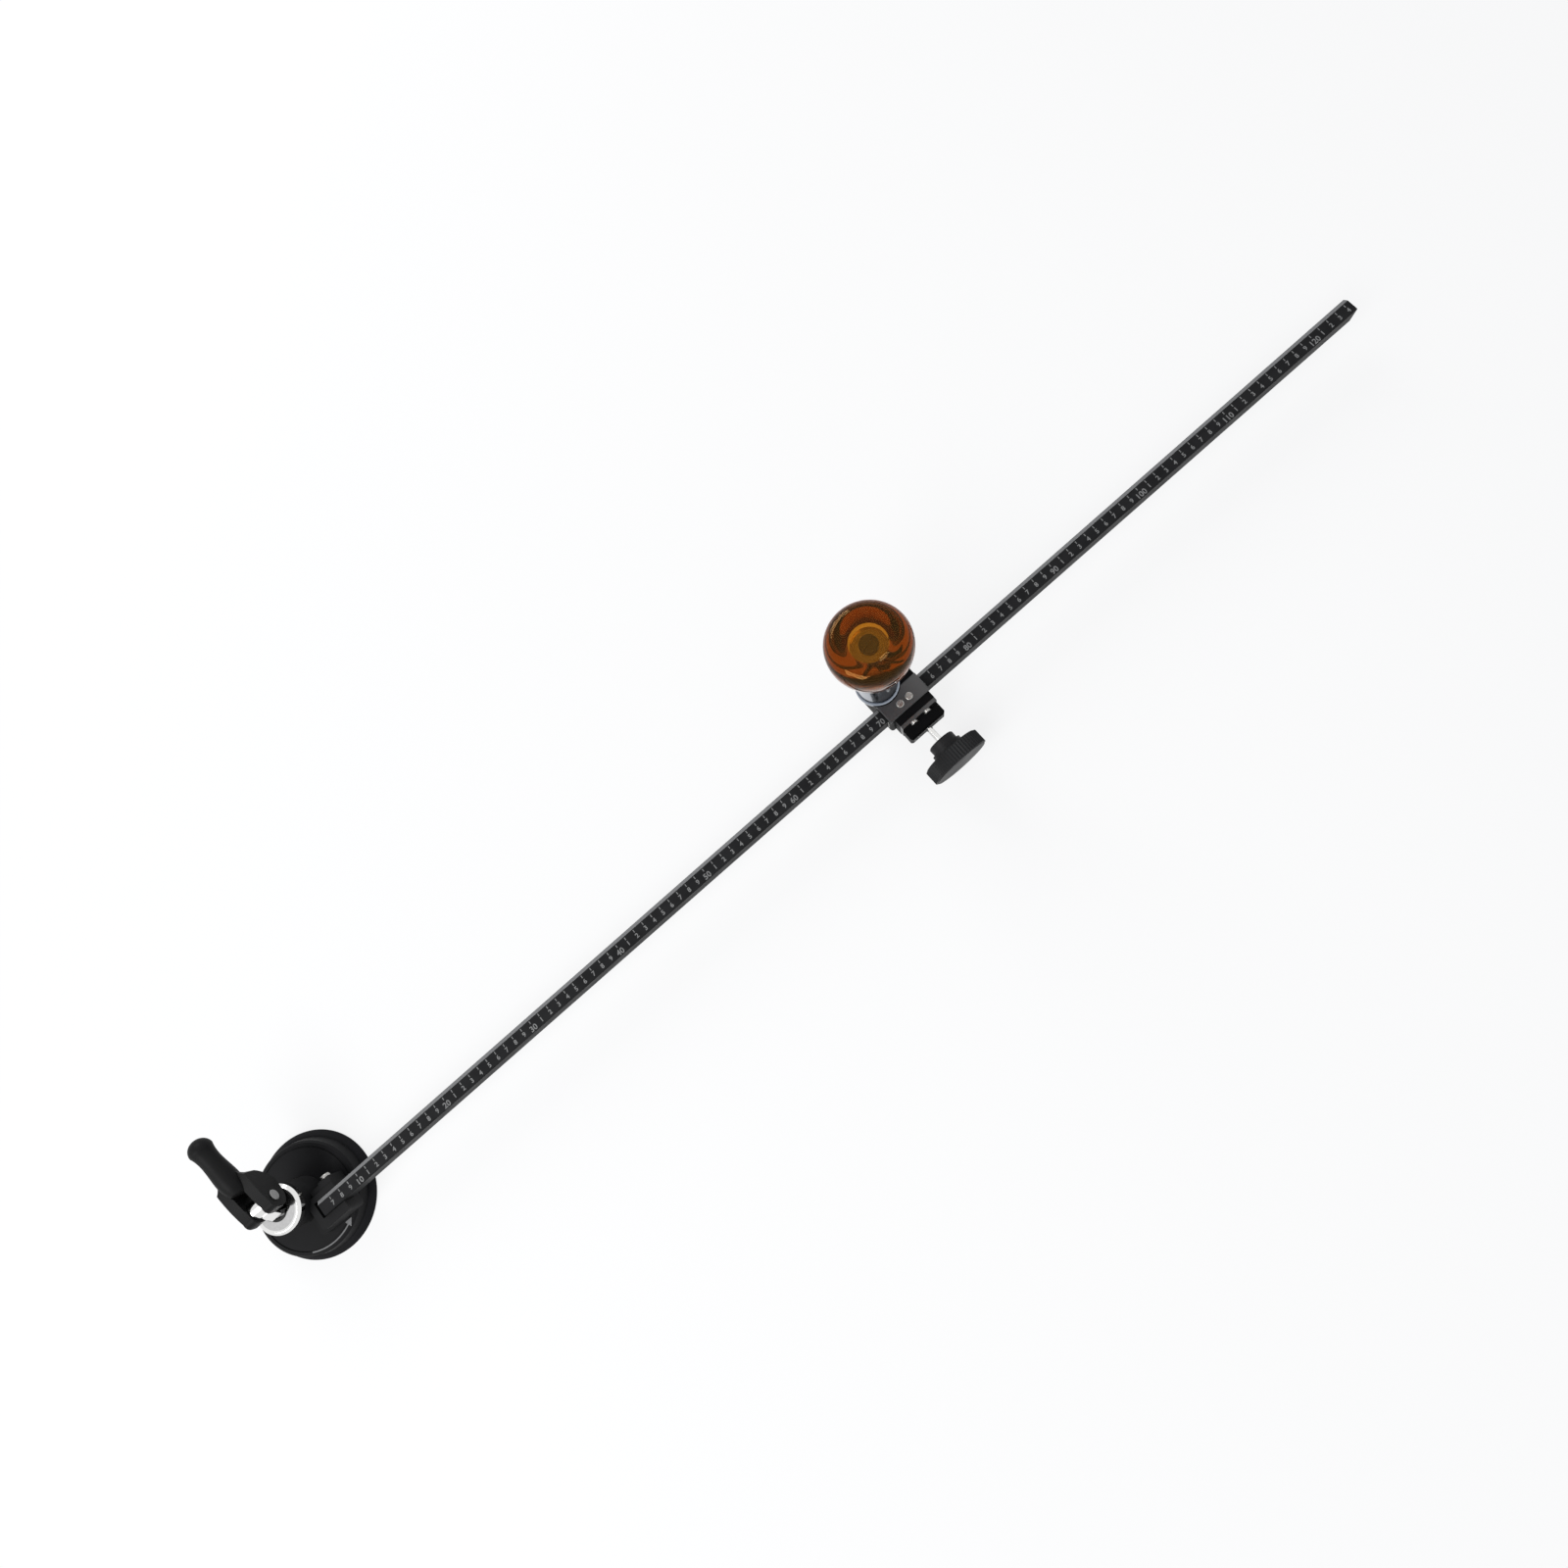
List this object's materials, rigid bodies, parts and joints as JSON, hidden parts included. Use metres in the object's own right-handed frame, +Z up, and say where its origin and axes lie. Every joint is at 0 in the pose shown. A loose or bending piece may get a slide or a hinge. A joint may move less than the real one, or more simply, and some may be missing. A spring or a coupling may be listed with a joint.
{
  "type": "glass circle cutter",
  "caption": "Glass circle cutter with a suction pivot and cam lever, a graduated swinging bar, and a sliding clamped head with a clear hand knob over a wheel turret.",
  "frame": {"origin": "on the axis that the bar swings about, in the plane of the glass under the suction pad", "axes": "+X along the bar away from the pivot, +Y towards the side that the lever's handle points to, +Z up from the glass"},
  "size_m": [0.6342, 0.0901, 0.097],
  "materials": {
    "black_rubber": "soft matt black rubber",
    "cap_black": "satin black enamel",
    "casting_black": "satin black enamel",
    "lever_black": "satin black enamel over a cast lever",
    "bar_black": "black anodised with white graduations",
    "block_black": "black oxide",
    "knurl_black": "satin black, straight knurl",
    "plate_steel": "satin nickel",
    "plain_steel": "turned steel",
    "neck_steel": "polished",
    "bright_chrome": "bright chrome plate",
    "screw_steel": "bright zinc",
    "screw_black": "black oxide",
    "tool_steel": "ground hard metal",
    "bearing_brass": "turned brass",
    "white_nylon": "natural nylon",
    "clear_amber": "polished clear amber plastic"
  },
  "bodies": {
    "base": {"suction_pad": "black_rubber", "pad_housing": "cap_black", "pivot_post": "plain_steel", "lower_washer": "white_nylon", "upper_washer": "white_nylon", "chrome_collar": "bright_chrome"},
    "stud": {"pull_stud": "bright_chrome"},
    "lever": {"cam_lever": "lever_black", "lever_pin": "plain_steel"},
    "arm": {"swivel_hub": "casting_black", "hub_bush": "bearing_brass", "scale_bar": "bar_black", "bar_screws": "screw_steel", "lug_screw": "screw_steel"},
    "head": {"head_block": "block_black", "index_plate": "plate_steel", "index_screws": "screw_steel", "bar_liner": "white_nylon", "clamp_plate": "plate_steel", "plate_screws": "screw_steel", "nut_block": "block_black", "nut_screws": "screw_black", "turret_holder": "block_black", "holder_screws": "screw_black", "turret_washer": "plain_steel", "turret_screw": "screw_steel", "knob_stem": "plain_steel", "neck_sleeve": "neck_steel", "knob_washer": "white_nylon", "knob_screw": "screw_black"},
    "presser": {"pressure_pad": "bearing_brass"},
    "clamp": {"clamp_screw": "bright_chrome", "clamp_knob": "knurl_black"},
    "knob": {"amber_knob": "clear_amber", "knob_insert": "bearing_brass"},
    "turret": {"turret_disc": "plain_steel", "wheel_axles": "tool_steel"},
    "cut_1": {"wheel_1": "tool_steel"},
    "cut_2": {"wheel_2": "tool_steel"},
    "cut_3": {"wheel_3": "tool_steel"},
    "cut_4": {"wheel_4": "tool_steel"},
    "cut_5": {"wheel_5": "tool_steel"},
    "cut_6": {"wheel_6": "tool_steel"}
  },
  "joints": [
    {"name": "bar_swing", "type": "hinge", "parent": "base", "child": "arm", "pos_m": [0, 0, 0.018], "axis": [0, 0, 1], "continuous": true},
    {"name": "stud_lift", "type": "slide", "parent": "base", "child": "stud", "axis": [0, 0, 1], "range_m": [-0.002, 0], "deforming": ["suction_pad"]},
    {"name": "lever_cam", "type": "hinge", "parent": "stud", "child": "lever", "pos_m": [0, 0.004, 0.0403], "axis": [1, 0, 0], "range_deg": [0, 90]},
    {"name": "head_slide", "type": "slide", "parent": "arm", "child": "head", "axis": [1, 0, 0], "range_m": [-0.29, 0.245]},
    {"name": "clamp_travel", "type": "slide", "parent": "head", "child": "presser", "axis": [0, -1, 0], "range_m": [0, 0.0015]},
    {"name": "clamp_turn", "type": "hinge", "parent": "presser", "child": "clamp", "pos_m": [0.347, -0.045, 0.0202], "axis": [0, -1, 0], "range_deg": [0, 1080]},
    {"name": "knob_spin", "type": "hinge", "parent": "head", "child": "knob", "pos_m": [0.3422, 0, 0.08], "axis": [0, 0, 1], "continuous": true},
    {"name": "turret_turn", "type": "hinge", "parent": "head", "child": "turret", "pos_m": [0.3524, 0, 0.0082], "axis": [1, 0, 0], "continuous": true},
    {"name": "wheel_1_spin", "type": "hinge", "parent": "turret", "child": "cut_1", "pos_m": [0.3524, 0, 0.0024], "axis": [1, 0, 0], "continuous": true},
    {"name": "wheel_2_spin", "type": "hinge", "parent": "turret", "child": "cut_2", "pos_m": [0.3524, 0.00502, 0.0053], "axis": [1, 0, 0], "continuous": true},
    {"name": "wheel_3_spin", "type": "hinge", "parent": "turret", "child": "cut_3", "pos_m": [0.3524, 0.00502, 0.0111], "axis": [1, 0, 0], "continuous": true},
    {"name": "wheel_4_spin", "type": "hinge", "parent": "turret", "child": "cut_4", "pos_m": [0.3524, 0, 0.014], "axis": [1, 0, 0], "continuous": true},
    {"name": "wheel_5_spin", "type": "hinge", "parent": "turret", "child": "cut_5", "pos_m": [0.3524, -0.00502, 0.0111], "axis": [1, 0, 0], "continuous": true},
    {"name": "wheel_6_spin", "type": "hinge", "parent": "turret", "child": "cut_6", "pos_m": [0.3524, -0.00502, 0.0053], "axis": [1, 0, 0], "continuous": true}
  ],
  "couplings": [
    {"joint": "lever_cam", "follows": "stud_lift", "rad_per_m": -785.39},
    {"joint": "clamp_travel", "follows": "clamp_turn", "m_per_rad": 0.00007957}
  ]
}
